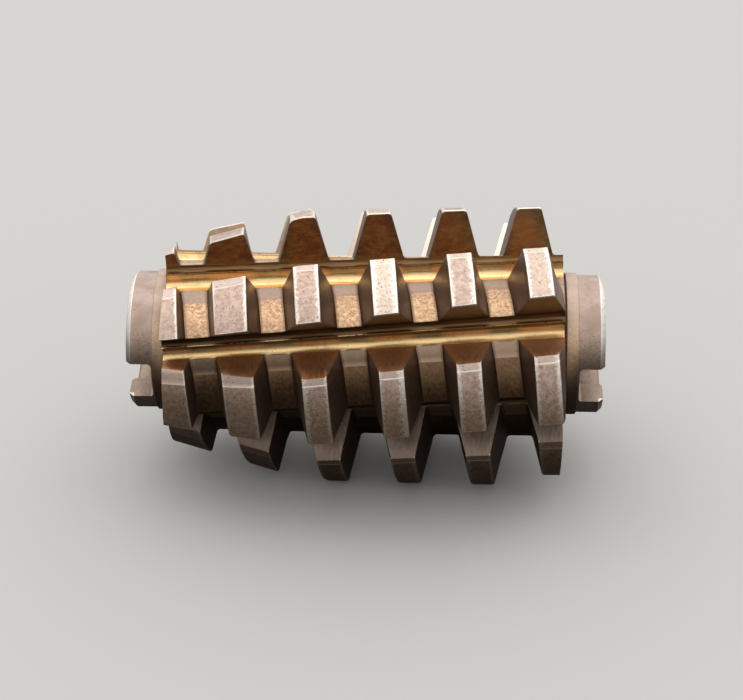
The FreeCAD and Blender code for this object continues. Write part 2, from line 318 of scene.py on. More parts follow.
for behind in LAND:
    offset, radius, edge, below = profile(row_of, tooth_of, column_of, behind * ones)
    x, angle = place(row_of, tooth_of, offset, behind)
    add_layer(x, angle, radius, edge, below, behind, "land")
for share in HEEL_PART + (None,):
    width = np.minimum(1.0, (BEVEL_END - heel_at) / BEVEL_FADE + LEAST_BEVEL)
    last = heel_at - HEEL_BEVEL * width
    behind = last if share is None else BREAK + (last - BREAK) * share
    offset, radius, edge, below = profile(row_of, tooth_of, column_of, behind)
    x, angle = place(row_of, tooth_of, offset, behind)
    add_layer(x, angle, radius - STEP_DOWN, edge, below, behind, "land")
heel_o, heel_r, heel_edge, heel_below = profile(row_of, tooth_of, column_of, heel_at)
heel_r = heel_r - STEP_DOWN
foot_y = ROOT_HEEL * math.sin(math.radians(ROOT_LAND))
foot_z = ROOT_HEEL * math.cos(math.radians(ROOT_LAND))
for share in HEEL_FACE:
    py = heel_r * np.sin(np.radians(heel_at))
    pz = heel_r * np.cos(np.radians(heel_at))
    qy, qz = py + (foot_y - py) * share, pz + (foot_z - pz) * share
    behind = np.degrees(np.arctan2(qy, qz))
    radius = np.hypot(qy, qz)
    x, angle = place(row_of, tooth_of, heel_o, behind)
    add_layer(x, angle, radius, heel_edge + (heel_r - radius), heel_below, behind, "heel")
next_row = np.where(row_of == FIRST_ROW + ROWS - 1, FIRST_ROW, row_of + 1)
next_tooth = np.where(row_of == FIRST_ROW + ROWS - 1, tooth_of - 1, tooth_of)
next_o, next_r = profile(next_row, next_tooth, column_of, 0.0 * ones)[:2]
for i, (out, ahead) in enumerate(floor_points):
    share = (i + 1.0) / len(floor_points)
    behind = STEP - math.degrees(math.atan2(ahead, out))
    x, angle = place(row_of, tooth_of, heel_o + (next_o - heel_o) * share, behind)
    dip = math.hypot(out - lip[0], ahead - lip[1])
    kind, dip = ("floor", -dip) if i < floor_count else ("groove", dip)
    add_layer(x, angle, math.hypot(out, ahead) * ones, FAR_FROM_EDGE * ones,
              FAR_FROM_FOOT * ones, behind, kind, dip)
face_top = next_r - np.minimum(EDGE_BEVEL, 0.5 * (next_r - FACE_FOOT))
for share in FACE_STATIONS:
    x, angle = place(row_of, tooth_of, next_o, STEP)
    radius = FACE_FOOT + (face_top - FACE_FOOT) * share
    add_layer(x, angle, radius, next_r - radius, radius - ROOT, 0.0, "face",
              FACE_DIP + radius - FACE_FOOT)


# The mesh: one strip of quads from station to station and row to row, all the way round.
# The last row joins the first one a pitch along. The marks are in mm, apart from "back",
# which is in degrees behind the edge, and "tint".
MATERIALS = ("ground_land", "amber_film", "cutting_face", "heel_face", "flank", "hub")
LAND_MAT, AMBER_MAT, FACE_MAT, HEEL_MAT, FLANK_MAT, HUB_MAT = range(6)
stations = len(layers)
per_row = columns.size
verts = np.stack([layer[0] for layer in layers], axis=1).reshape(-1, 3)
index = np.arange(ROWS * stations * per_row).reshape(ROWS, stations, per_row)
marks = {}
for name, number in (("edge", 1), ("foot", 2), ("back", 3), ("dip", 4)):
    marks[name] = np.stack([layer[number] for layer in layers], axis=1).reshape(-1)
slot_of = tooth_of - FIRST_TOOTH + 1
tints = tooth_tint[row_of - FIRST_ROW, slot_of]
bands = band_width[row_of - FIRST_ROW, slot_of, (column_of >= 0).astype(int)]
marks["tint"] = np.stack([tints] * stations, axis=1).reshape(-1)
marks["band"] = np.stack([bands] * stations, axis=1).reshape(-1)

kinds = [layer[5] for layer in layers]
SPARE = 1.5                  # kept past each end face, to be cut off
faces, face_mats = [], []
for r in range(ROWS):
    for s in range(stations):
        for c in range(per_row - 1):
            a, b = index[r, s, c], index[r, s, c + 1]
            if s < stations - 1:
                d, e = index[r, s + 1, c], index[r, s + 1, c + 1]
            elif r < ROWS - 1:
                d, e = index[r + 1, 0, c], index[r + 1, 0, c + 1]
            elif c >= 2 * SIDE:
                d, e = index[0, 0, c - 2 * SIDE], index[0, 0, c + 1 - 2 * SIDE]
            else:
                continue
            if verts[a, 0] > RIGHT + SPARE or verts[b, 0] < LEFT - SPARE:
                continue
            faces.append((a, b, e, d))
            k = abs(columns[c]) if columns[c] < 0 else columns[c] + 1
            kind = kinds[s + 1] if s < stations - 1 else "land"
            if kind == "land":
                mat = LAND_MAT if k <= FLANK_TOP else FLANK_MAT if k <= FILLET else AMBER_MAT
            elif kind == "heel":
                mat = HEEL_MAT if k <= FILLET else AMBER_MAT
            else:
                mat = {"floor": AMBER_MAT, "groove": AMBER_MAT, "face": FACE_MAT}[kind]
            face_mats.append(mat)

mesh = bpy.data.meshes.new("toothed_body")
mesh.from_pydata(verts.tolist(), [], [tuple(int(i) for i in f) for f in faces])
mesh.polygons.foreach_set("material_index", face_mats)
for name, values in marks.items():
    mesh.attributes.new(name, "FLOAT", "POINT").data.foreach_set("value", values)

bm = bmesh.new()
bm.from_mesh(mesh)
loose = [v for v in bm.verts if not v.link_faces]
bmesh.ops.delete(bm, geom=loose, context="VERTS")
RIM = 96


def cut_end(x, side):
    """Cut the thread off at x and close it with a flat face round the bore."""
    everything = bm.verts[:] + bm.edges[:] + bm.faces[:]
    bmesh.ops.bisect_plane(bm, geom=everything, dist=1e-5, plane_co=(x, 0, 0),
                           plane_no=(side, 0, 0), clear_outer=True)
    rim = [e for e in bm.edges if e.is_boundary and abs(e.verts[0].co.x - x) < 0.01
           and abs(e.verts[1].co.x - x) < 0.01]
    circle = []
    for i in range(RIM):
        t = 2.0 * math.pi * i / RIM
        circle.append(bm.verts.new((x, -BORE * math.cos(t), BORE * math.sin(t))))
    inner = [bm.edges.new((circle[i], circle[(i + 1) % RIM])) for i in range(RIM)]
    made = bmesh.ops.triangle_fill(bm, edges=rim + inner, use_beauty=True, use_dissolve=False)
    for item in made["geom"]:
        if isinstance(item, bmesh.types.BMFace):
            item.material_index = HUB_MAT
    return circle


right_rim = cut_end(RIGHT, 1)
left_rim = cut_end(LEFT, -1)
for i in range(RIM):
    n = (i + 1) % RIM
    face = bm.faces.new((left_rim[i], left_rim[n], right_rim[n], right_rim[i]))
    face.material_index = HUB_MAT
bmesh.ops.recalc_face_normals(bm, faces=bm.faces)
open_edges = [e for e in bm.edges if not e.is_manifold]
print("toothed body:", len(bm.faces), "faces,", len(open_edges), "open edges")
bm.transform(Matrix.Scale(MM, 4))
bm.to_mesh(mesh)
bm.free()
mesh.shade_smooth()
BODY_SHARP = 32.0
mesh.set_sharp_from_angle(angle=math.radians(BODY_SHARP))

# --------------------------------------------------------------- the turned ends

HUB_END = 59.9
HUB_R = 17.5
HUB_CHAMFER = 1.1
BORE_CHAMFER = 0.8
RING_END = 53.3
RING_R = 18.1
RING_CHAMFER = 0.15
NECK_R, NECK_END = 16.6, 50.2          # the undercut beside the right ring
HUB_SEGMENTS = 144
HUB_SHARP = 25.0
SLOT_HALF = 5.2
SLOT_FLOOR = 53.6
SLOT_FILLET = 1.0
SLOT_ANGLE = -10.0
FILLET_STEPS = 6
CUTTER_END, CUTTER_REACH = 61.5, 24.0
WORN_BEVEL, BEVEL_FROM = 0.16, 38.0    # mm, and the least angle that is bevelled


def lathe(name, outline, side):
    """Turn a closed outline of (x, radius) about the axis."""
    made = bmesh.new()
    rings = []
    for x, r in outline:
        ring = []
        for i in range(HUB_SEGMENTS):
            t = 2.0 * math.pi * i / HUB_SEGMENTS
            ring.append(made.verts.new((side * x, -r * math.cos(t), r * math.sin(t))))
        rings.append(ring)
    for a, b in zip(rings, rings[1:] + rings[:1]):
        for i in range(HUB_SEGMENTS):
            n = (i + 1) % HUB_SEGMENTS
            made.faces.new((a[i], a[n], b[n], b[i]))
    bmesh.ops.recalc_face_normals(made, faces=made.faces)
    made.transform(Matrix.Scale(MM, 4))
    data = bpy.data.meshes.new(name)
    made.to_mesh(data)
    made.free()
    piece = bpy.data.objects.new(name, data)
    bpy.context.scene.collection.objects.link(piece)
    return piece


def slot_cutter(side):
    """A bar as wide as the drive slot, with the fillets of its floor, across the hub."""
    inner_x, inner_w = SLOT_FLOOR + SLOT_FILLET, SLOT_HALF - SLOT_FILLET
    quarter = [math.radians(90.0 * i / FILLET_STEPS) for i in range(FILLET_STEPS + 1)]
    section = [(CUTTER_END, -SLOT_HALF)]
    section += [(inner_x - SLOT_FILLET * math.sin(t), -inner_w - SLOT_FILLET * math.cos(t))
                for t in quarter]
    section += [(inner_x - SLOT_FILLET * math.cos(t), inner_w + SLOT_FILLET * math.sin(t))
                for t in quarter]
    section.append((CUTTER_END, SLOT_HALF))
    slant = math.radians(SLOT_ANGLE)
    run = Vector((0.0, -math.cos(slant), math.sin(slant)))
    across = Vector((0.0, math.sin(slant), math.cos(slant)))
    made = bmesh.new()
    loops = []
    for end in (-CUTTER_REACH, CUTTER_REACH):
        loops.append([made.verts.new(Vector((side * x, 0, 0)) + run * end + across * w)
                      for x, w in section])
    count = len(section)
    for i in range(count):
        n = (i + 1) % count
        made.faces.new((loops[0][i], loops[0][n], loops[1][n], loops[1][i]))
    made.faces.new(loops[0])
    made.faces.new(loops[1])
    bmesh.ops.recalc_face_normals(made, faces=made.faces)
    made.transform(Matrix.Scale(MM, 4))
    data = bpy.data.meshes.new("cutter")
    made.to_mesh(data)
    made.free()
    piece = bpy.data.objects.new("cutter", data)
    bpy.context.scene.collection.objects.link(piece)
    return piece


def turned_end(name, start, neck_r, neck_end, side):
    """Neck, ring and hub, with the drive slot cut and every edge slightly worn."""
    outline = [(start, BORE), (start, neck_r)]
    if neck_end > start:
        outline.append((neck_end, neck_r))
        outline.append((neck_end, RING_R - RING_CHAMFER))
        outline.append((neck_end + RING_CHAMFER, RING_R))
    outline += [(RING_END - RING_CHAMFER, RING_R), (RING_END, RING_R - RING_CHAMFER),
                (RING_END, HUB_R), (HUB_END - HUB_CHAMFER, HUB_R),
                (HUB_END, HUB_R - HUB_CHAMFER), (HUB_END, BORE + BORE_CHAMFER),
                (HUB_END - BORE_CHAMFER, BORE)]
    piece = lathe(name, outline, side)
    cutter = slot_cutter(side)
    boolean = piece.modifiers.new("slot", "BOOLEAN")
    boolean.operation = "DIFFERENCE"
    boolean.solver = "EXACT"
    boolean.object = cutter
    bevel = piece.modifiers.new("worn edges", "BEVEL")
    bevel.width = WORN_BEVEL * MM
    bevel.segments = 2
    bevel.limit_method = "ANGLE"
    bevel.angle_limit = math.radians(BEVEL_FROM)
    graph = bpy.context.evaluated_depsgraph_get()
    result = bpy.data.meshes.new_from_object(piece.evaluated_get(graph))
    piece.modifiers.clear()
    piece.data = result
    bpy.data.objects.remove(cutter)
    result.shade_smooth()
    result.set_sharp_from_angle(angle=math.radians(HUB_SHARP))
    return piece


body = bpy.data.objects.new("toothed_body", mesh)
bpy.context.scene.collection.objects.link(body)
right_end = turned_end("right_hub", RIGHT, NECK_R, NECK_END, 1)
left_end = turned_end("left_hub", -LEFT, RING_R, 0.0, -1)

# ---------------------------------------------------------------------- materials

class Shader:
    """A short way to write a node material around its Principled BSDF."""

    def __init__(self, name):
        self.material = bpy.data.materials.new(name)
        self.material.use_nodes = True
        self.tree = self.material.node_tree
        self.bsdf = self.tree.nodes["Principled BSDF"]
        coordinates = self.tree.nodes.new("ShaderNodeTexCoord").outputs["Object"]
        self.mm = self.vector("SCALE", coordinates, scale=1000.0)
        split = self.tree.nodes.new("ShaderNodeSeparateXYZ")
        self.tree.links.new(self.mm, split.inputs[0])
        self.x, self.y, self.z = split.outputs
        self.radius = self.math("SQRT", self.plus(self.times(self.y, self.y),
                                                  self.times(self.z, self.z)))

    def put(self, socket, value):
        if isinstance(value, bpy.types.NodeSocket):
            self.tree.links.new(value, socket)
        elif isinstance(value, tuple) and len(value) == 3 and socket.type == "RGBA":
            socket.default_value = value + (1.0,)
        else:
            socket.default_value = value

    def math(self, operation, a, b=0.0):
        node = self.tree.nodes.new("ShaderNodeMath")
        node.operation = operation
        self.put(node.inputs[0], a)
        self.put(node.inputs[1], b)
        return node.outputs[0]

    def times(self, a, b):
        return self.math("MULTIPLY", a, b)

    def plus(self, a, b):
        return self.math("ADD", a, b)

    def most(self, first, *others):
        for other in others:
            first = self.math("MAXIMUM", first, other)
        return first

    def vector(self, operation, a, b=None, scale=None):
        node = self.tree.nodes.new("ShaderNodeVectorMath")
        node.operation = operation
        self.put(node.inputs[0], a)
        if b is not None:
            self.put(node.inputs[1], b)
        if scale is not None:
            node.inputs["Scale"].default_value = scale
        return node.outputs[0]

    def mark(self, name):
        """A value that the mesh carries at its points."""
        node = self.tree.nodes.new("ShaderNodeAttribute")
        node.attribute_name = name
        return node.outputs["Fac"]

    def ramp(self, value, low, high, to_low=0.0, to_high=1.0):
        node = self.tree.nodes.new("ShaderNodeMapRange")
        node.interpolation_type = "SMOOTHSTEP"
        self.put(node.inputs["Value"], value)
        self.put(node.inputs["From Min"], low)
        self.put(node.inputs["From Max"], high)
        self.put(node.inputs["To Min"], to_low)
        self.put(node.inputs["To Max"], to_high)
        return node.outputs["Result"]

    def noise(self, scale, detail=3.0, rough=0.55, stretch=None, shift=0.0):
        place_at = self.mm
        if stretch or shift:
            place_at = self.vector("MULTIPLY", place_at, stretch or (1.0, 1.0, 1.0))
            place_at = self.vector("ADD", place_at, (shift, 1.7 * shift, -0.6 * shift))
        node = self.tree.nodes.new("ShaderNodeTexNoise")
        self.put(node.inputs["Vector"], place_at)
        node.inputs["Scale"].default_value = scale
        node.inputs["Detail"].default_value = detail
        node.inputs["Roughness"].default_value = rough
        return node.outputs["Fac"]

    def spots(self, scale, size, shift=0.0):
        """Small round pits: 1 inside a pit, 0 elsewhere."""
        node = self.tree.nodes.new("ShaderNodeTexVoronoi")
        node.feature = "F1"
        self.put(node.inputs["Vector"], self.vector("ADD", self.mm, (shift, shift, shift)))
        node.inputs["Scale"].default_value = scale
        return self.ramp(node.outputs["Distance"], size, 0.4 * size)

    def mix(self, share, a, b, blend="MIX"):
        node = self.tree.nodes.new("ShaderNodeMix")
        node.data_type = "RGBA"
        node.blend_type = blend
        self.put(node.inputs["Factor"], share)
        self.put(node.inputs[6], a)
        self.put(node.inputs[7], b)
        return node.outputs[2]

    def blend(self, share, a, b):
        """As mix, for plain numbers."""
        node = self.tree.nodes.new("ShaderNodeMix")
        node.data_type = "FLOAT"
        self.put(node.inputs[0], share)
        self.put(node.inputs[2], a)
        self.put(node.inputs[3], b)
        return node.outputs[0]

    def painted_shade_below(self, colour):
        """Painted shade: browner from the axis down, and darker towards the underside."""
        colour = self.mix(self.ramp(self.z, 8.0, -4.0), colour, (1.0, 0.93, 0.80), "MULTIPLY")
        return self.mix(self.ramp(self.z, -8.0, -22.0), colour, (0.70, 0.66, 0.64), "MULTIPLY")

    def finish(self, colour, roughness, height, depth_mm, metallic):
        self.put(self.bsdf.inputs["Base Color"], colour)
        self.put(self.bsdf.inputs["Roughness"], roughness)
        self.bsdf.inputs["Metallic"].default_value = metallic
        bump = self.tree.nodes.new("ShaderNodeBump")
        bump.inputs["Strength"].default_value = 1.0
        bump.inputs["Distance"].default_value = depth_mm * MM
        self.put(bump.inputs["Height"], height)
        self.tree.links.new(bump.outputs["Normal"], self.bsdf.inputs["Normal"])
        return self.material


WORN = (0.82, 0.76, 0.70)    # bare steel, where the film is rubbed off


def land_material():
    """Crest: mottled grey-brown, smoother on the heel part, bright where it is rubbed."""
    s = Shader("ground_land")
    back, tint, edge, band = s.mark("back"), s.mark("tint"), s.mark("edge"), s.mark("band")
    mottle = s.noise(0.8, 5.0, 0.7)
    grain = s.noise(1.5, 5.0, 0.8, shift=7.0)
    fine = s.noise(4.5, 2.0, 0.6, shift=27.0)
    heel = s.ramp(back, BREAK - 0.2, BREAK + 0.2)
    main = s.mix(s.ramp(mottle, 0.36, 0.64), (0.34, 0.23, 0.185), (0.49, 0.37, 0.305))
    main = s.mix(s.ramp(grain, 0.46, 0.33, 0.0, 0.55), main, (0.20, 0.12, 0.085))
    main = s.mix(s.ramp(grain, 0.54, 0.68, 0.0, 0.6), main, (0.62, 0.53, 0.45))
    smooth = s.mix(s.ramp(mottle, 0.3, 0.7), (0.47, 0.37, 0.315), (0.55, 0.44, 0.375))
    smooth = s.mix(s.ramp(grain, 0.46, 0.32, 0.0, 0.45), smooth, (0.27, 0.19, 0.15))
    colour = s.mix(heel, main, smooth)
    colour = s.mix(s.ramp(fine, 0.5, 0.72, 0.0, 0.35), colour, (0.60, 0.48, 0.40))

    # Some teeth are paler and some darker than the others.
    pale = s.mix(s.ramp(grain, 0.40, 0.54), (0.50, 0.33, 0.24), (0.66, 0.585, 0.50))
    colour = s.mix(s.ramp(tint, 0.2, 1.6, 0.0, 0.75), colour, pale)
    colour = s.mix(s.ramp(tint, 0.0, -1.0, 0.0, 0.3), colour, (0.20, 0.155, 0.125))
    pits = s.times(s.spots(0.9, 0.24), s.ramp(s.noise(0.4, 2.0, shift=31.0), 0.42, 0.55))
    colour = s.mix(s.times(pits, 0.8), colour, (0.12, 0.055, 0.035))

    # Rubbed bright: a ragged band beside each corner, the corner itself, the cutting
    # edge, and the step between the two parts.
    ragged = s.noise(1.2, 4.0, 0.7, shift=13.0)
    reach = s.times(band, s.ramp(ragged, 0.32, 0.68, 0.25, 1.2))
    beside = s.ramp(s.math("SUBTRACT", edge, reach), 0.38, -0.38, 0.0, 0.7)
    thin = s.ramp(edge, 0.42, 0.18, 0.0, 0.75)
    front = s.ramp(back, 0.8, 0.4, 0.0, 0.8)
    step = s.times(s.ramp(back, BREAK - 0.8, BREAK - 0.2),
                   s.ramp(back, BREAK + 0.3, BREAK, 0.0, 0.6))
    patch = s.ramp(s.noise(1.6, 5.0, 0.8, shift=41.0), 0.34, 0.50, 0.35, 1.0)
    worn = s.times(s.most(front, step, thin, beside), patch)
    colour = s.mix(worn, colour, WORN)
    rough = s.blend(worn, s.ramp(grain, 0.3, 0.7, 0.38, 0.52), 0.34)
    height = s.plus(s.plus(grain, s.times(fine, 0.4)), s.times(pits, -1.2))
    return s.finish(s.painted_shade_below(colour), rough, height, 0.035, 0.85)


def flank_material():
    """Flanks: dark brown, with painted shade darkest at the foot, and a thin bright line at
    the crest.
    """
    s = Shader("flank")
    edge, foot = s.mark("edge"), s.mark("foot")
    streak = s.noise(1.4, 4.0, 0.6)
    colour = s.mix(s.ramp(streak, 0.3, 0.7), (0.13, 0.085, 0.062), (0.225, 0.155, 0.115))
    red = s.ramp(s.noise(0.5, 2.0, shift=5.0), 0.5, 0.7, 0.0, 0.5)
    colour = s.mix(red, colour, (0.27, 0.15, 0.085))
    # Painted shade towards the foot of the flank.
    colour = s.mix(s.ramp(foot, -2.2, 0.0, 0.0, 0.5), colour, (0.075, 0.05, 0.035))
    thin = s.ramp(edge, 0.45, 0.1, 0.0, 0.8)
    colour = s.mix(thin, colour, WORN)
    rough = s.ramp(streak, 0.3, 0.7, 0.34, 0.46)
    return s.finish(colour, rough, streak, 0.02, 0.9)


def amber_material():
    """Roots and gash floors: golden film, with painted shade where it is sheltered and a
    painted highlight along the lip.
    """
    s = Shader("amber_film")
    back, foot, dip = s.mark("back"), s.mark("foot"), s.mark("dip")
    grain = s.noise(1.15, 6.0, 0.8, shift=3.0)
    cloud = s.noise(0.35, 3.0, 0.6, shift=19.0)
    lines = s.noise(1.1, 4.0, 0.65, stretch=(0.07, 1.6, 1.6), shift=9.0)
    pits = s.times(s.spots(1.1, 0.25, 4.0), s.ramp(s.noise(0.5, 2.0, shift=23.0), 0.4, 0.55))

    # The root between two teeth: its ground part, its smooth heel part, and painted shade in
    # its corners.
    main = s.mix(s.ramp(grain, 0.38, 0.62), (0.25, 0.145, 0.075), (0.62, 0.41, 0.25))
    main = s.mix(s.ramp(cloud, 0.45, 0.65, 0.0, 0.5), main, (0.32, 0.215, 0.16))
    main = s.mix(s.times(pits, 0.7), main, (0.10, 0.055, 0.03))
    smooth = s.mix(s.ramp(grain, 0.3, 0.7), (0.24, 0.165, 0.125), (0.33, 0.235, 0.185))
    # Lower on the hob, painted shade turns the ground part dark brown, and the smooth heel
    # part turns a lighter gold.
    low_on_hob = s.ramp(s.z, 13.0, 8.0, 0.0, 0.8)
    main = s.mix(low_on_hob, main, (0.068, 0.038, 0.018))
    smooth = s.mix(s.times(low_on_hob, 0.5), smooth, (0.38, 0.26, 0.155))
    root = s.mix(s.ramp(back, BREAK - 0.2, BREAK + 0.2), main, smooth)
    corner = s.times(s.ramp(foot, 1.0, 0.1, 0.0, 0.7),
                     s.ramp(back, ROOT_LAND + 0.2, ROOT_LAND - 0.2))
    root = s.mix(corner, root, (0.14, 0.085, 0.055))

    # The gash: gold, with a band of painted shade below the lip, wider in the lower gashes.
    gold = s.mix(s.ramp(lines, 0.3, 0.7), (0.78, 0.50, 0.21), (1.0, 0.74, 0.38))
    gold = s.mix(s.ramp(cloud, 0.50, 0.72, 0.0, 0.35), gold, (0.42, 0.26, 0.12))
    gold = s.mix(s.times(pits, 0.5), gold, (0.06, 0.035, 0.02))
    lip_shade = s.ramp(s.plus(dip, s.times(lines, 0.4)), -0.45, -0.05, 0.0, 0.8)
    gold = s.mix(lip_shade, gold, (0.13, 0.07, 0.03))
    depth = s.plus(s.plus(dip, s.times(lines, 0.9)), s.times(s.x, -0.010))
    shade = s.times(s.ramp(depth, -2.55, -1.75), s.ramp(s.z, 17.0, 14.5, 0.0, 0.85))
    gold = s.mix(shade, gold, (0.09, 0.05, 0.024))
    groove = s.mix(s.ramp(lines, 0.35, 0.65), (0.12, 0.062, 0.024), (0.20, 0.11, 0.045))
    # Painted shade: the groove goes darker in the lower gashes.
    groove = s.mix(s.times(s.ramp(s.z, 16.0, 11.0), 0.6), groove, (0.04, 0.022, 0.012))
    gold = s.mix(s.ramp(dip, 0.0, 0.12), gold, groove)

    # Painted highlight: a bright line along the lip, broken up by noise and faint low on the
    # hob.
    lip_highlight = s.ramp(s.noise(0.9, 3.0, 0.7, shift=51.0), 0.36, 0.48)
    lip_highlight = s.times(lip_highlight, s.ramp(s.z, -5.0, 3.0, 0.08, 1.0))
    at_lip = s.times(s.ramp(dip, -0.30, -0.08), s.ramp(dip, 0.30, 0.08))
    gold = s.mix(s.times(at_lip, lip_highlight), gold, (0.86, 0.64, 0.36))
    # Painted shade: the gash goes almost black low down at the front.
    front_low_shade = s.times(s.ramp(s.z, 2.0, -4.0, 0.0, 0.88), s.ramp(s.y, 4.0, -4.0))
    gold = s.mix(front_low_shade, gold, (0.05, 0.03, 0.017))

    in_gash = s.ramp(back, ROOT_LAND - 0.2, ROOT_LAND + 0.8)
    colour = s.mix(in_gash, root, gold)
    rough = s.blend(in_gash, s.ramp(grain, 0.3, 0.7, 0.28, 0.40),
                    s.ramp(lines, 0.3, 0.7, 0.30, 0.42))
    height = s.blend(in_gash, grain, lines)
    return s.finish(s.painted_shade_below(colour), rough, height, 0.035, 0.9)


def face_material():
    """Cutting faces: golden brown with red stains, lighter at the edges and at the back, with
    painted shade on the lower faces.
    """
    s = Shader("cutting_face")
    lines = s.noise(0.9, 4.0, 0.6, stretch=(0.45, 1.0, 1.0), shift=2.0)
    cloud = s.noise(0.30, 4.0, 0.7, shift=11.0)
    specks = s.noise(3.2, 2.0, 0.6, shift=33.0)
    colour = s.mix(s.ramp(lines, 0.3, 0.7), (0.21, 0.12, 0.047), (0.38, 0.24, 0.10))
    colour = s.mix(s.ramp(cloud, 0.5, 0.62, 0.0, 0.75), colour, (0.25, 0.10, 0.06))
    colour = s.mix(s.ramp(specks, 0.6, 0.72, 0.0, 0.6), colour, (0.55, 0.38, 0.18))
    foot = s.ramp(s.mark("dip"), FACE_DIP + 1.4, FACE_DIP, 0.0, 0.5)
    colour = s.mix(foot, colour, (0.34, 0.21, 0.09))
    # Painted shade: darker on the lower cutting faces.
    colour = s.mix(s.ramp(s.z, 25.0, 20.0, 0.0, 0.45), colour, (0.075, 0.04, 0.015))
    # Paler towards the back, more so to the right and higher up.
    pale_at_back = s.times(s.ramp(s.y, 9.0, 14.0, 0.0, 0.75), s.ramp(s.x, -25.0, 10.0, 0.15, 1.0))
    pale_at_back = s.times(pale_at_back, s.ramp(s.z, 4.0, 10.0))
    lighter = s.times(s.ramp(s.x, 5.0, 45.0, 0.0, 0.4), s.ramp(s.z, 24.0, 27.0))
    colour = s.mix(lighter, colour, (0.52, 0.36, 0.17))
    colour = s.mix(pale_at_back, colour, (0.90, 0.76, 0.66))
    edge = s.ramp(s.mark("edge"), 0.55, 0.28, 0.0, 0.5)
    colour = s.mix(edge, colour, WORN)
    rough = s.ramp(lines, 0.3, 0.7, 0.30, 0.42)
    return s.finish(colour, rough, lines, 0.012, 0.9)


def heel_material():
    """Heel faces: reddish brown above the axis, dull grey-brown below it."""
    s = Shader("heel_face")
    scratches = s.noise(1.6, 5.0, 0.7, stretch=(1.0, 0.2, 0.2), shift=6.0)
    cloud = s.noise(0.4, 3.0, 0.6, shift=17.0)
    warm = s.mix(s.ramp(scratches, 0.3, 0.7), (0.27, 0.105, 0.038), (0.36, 0.155, 0.064))
    dull = s.mix(s.ramp(scratches, 0.3, 0.7), (0.17, 0.122, 0.095), (0.26, 0.195, 0.155))
    share = s.times(s.ramp(s.z, -6.0, 4.0, 0.0, 1.0), s.ramp(cloud, 0.72, 0.45, 0.45, 1.0))
    colour = s.mix(share, dull, warm)
    thin = s.ramp(s.mark("edge"), 0.5, 0.15, 0.0, 0.5)
    colour = s.mix(thin, colour, WORN)
    rough = s.ramp(scratches, 0.3, 0.7, 0.40, 0.54)
    return s.finish(colour, rough, scratches, 0.025, 0.85)


def hub_material():
    """Hubs, rings, end faces and bore: grey-brown, darker and speckled lower down, with
    painted shade in the recesses and low down.
    """
    s = Shader("hub")
    cloud = s.noise(0.22, 4.0, 0.6, shift=14.0)
    grain = s.noise(2.4, 3.0, 0.6, shift=8.0)
    out = s.math("ABSOLUTE", s.x)
    colour = s.mix(s.ramp(cloud, 0.35, 0.65), (0.32, 0.235, 0.195), (0.40, 0.31, 0.265))
    colour = s.mix(s.ramp(grain, 0.55, 0.75, 0.0, 0.35), colour, (0.20, 0.145, 0.11))
    pits = s.times(s.spots(0.7, 0.16, 9.0), s.ramp(s.noise(0.3, 2.0, shift=37.0), 0.5, 0.6))
    colour = s.mix(s.times(pits, 0.7), colour, (0.12, 0.08, 0.06))
    coarse = s.times(s.ramp(s.noise(1.5, 5.0, 0.8, shift=61.0), 0.50, 0.40, 0.0, 0.55),
                     s.ramp(s.z, 13.0, 4.0, 0.15, 1.0))
    colour = s.mix(coarse, colour, (0.16, 0.11, 0.075))
    halfway = s.times(s.ramp(s.z, 16.0, 9.0), s.ramp(s.z, -16.0, -6.0))
    speckled = s.times(s.ramp(grain, 0.47, 0.60), halfway)
    colour = s.mix(s.times(speckled, 0.4), colour, (0.60, 0.42, 0.26))

    # The rings have a golden film, most golden from mid-height down and dark brown towards the
    # bottom.
    ring = s.times(s.ramp(s.radius, RING_R - 0.5, RING_R - 0.3),
                   s.ramp(out, RING_END + 0.1, RING_END - 0.1))
    tinted = s.times(ring, s.ramp(s.z, 15.5, 8.0, 0.25, 1.0))
    gold = s.times(tinted, s.ramp(grain, 0.4, 0.6, 0.3, 1.0))
    colour = s.mix(gold, colour, (0.62, 0.43, 0.26))
    brown = s.times(ring, s.ramp(s.z, 5.0, -5.0, 0.0, 0.85))
    colour = s.mix(brown, colour, (0.11, 0.068, 0.04))

    # The chamfer at the end is rubbed bright.
    ragged = s.ramp(s.noise(1.3, 3.0, 0.7, shift=29.0), 0.25, 0.5, 0.4, 1.0)
    rim = s.times(s.ramp(out, HUB_END - 1.35, HUB_END - 1.05),
                  s.ramp(s.radius, HUB_R - 1.4, HUB_R - 1.1))
    rim = s.times(rim, ragged)
    colour = s.mix(rim, colour, WORN)

    # Painted shade: darker just above the slot, on the underside, in the undercut and in the
    # bore.
    low = s.times(s.ramp(s.z, 10.0, 1.0, 0.0, 0.5), s.ramp(out, 51.0, 53.0))
    low = s.times(low, s.ramp(s.z, -10.0, -6.0, 0.4, 1.0))
    underside = s.times(s.ramp(s.z, -12.5, -14.5, 0.0, 0.7), s.ramp(s.y, 4.0, -4.0))
    colour = s.mix(s.most(low, underside), colour, (0.115, 0.078, 0.055))
    inside = s.times(s.ramp(s.radius, NECK_R + 0.3, NECK_R + 0.1),
                     s.ramp(out, NECK_END + 0.2, NECK_END - 0.1))
    colour = s.mix(s.times(inside, 0.8), colour, (0.05, 0.032, 0.02))
    rough = s.blend(rim, s.ramp(grain, 0.3, 0.7, 0.44, 0.54), 0.38)
    return s.finish(colour, rough, grain, 0.015, 0.85)


materials = {
    "ground_land": land_material(),
    "amber_film": amber_material(),
    "cutting_face": face_material(),
    "heel_face": heel_material(),
    "flank": flank_material(),
    "hub": hub_material(),
}
for name in MATERIALS:
    mesh.materials.append(materials[name])
for piece in (right_end, left_end):
    piece.data.materials.clear()
    piece.data.materials.append(materials["hub"])

for piece, slot in ((body, "ground_land"), (right_end, "hub"), (left_end, "hub")):
    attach(piece, "root")
    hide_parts("hob")

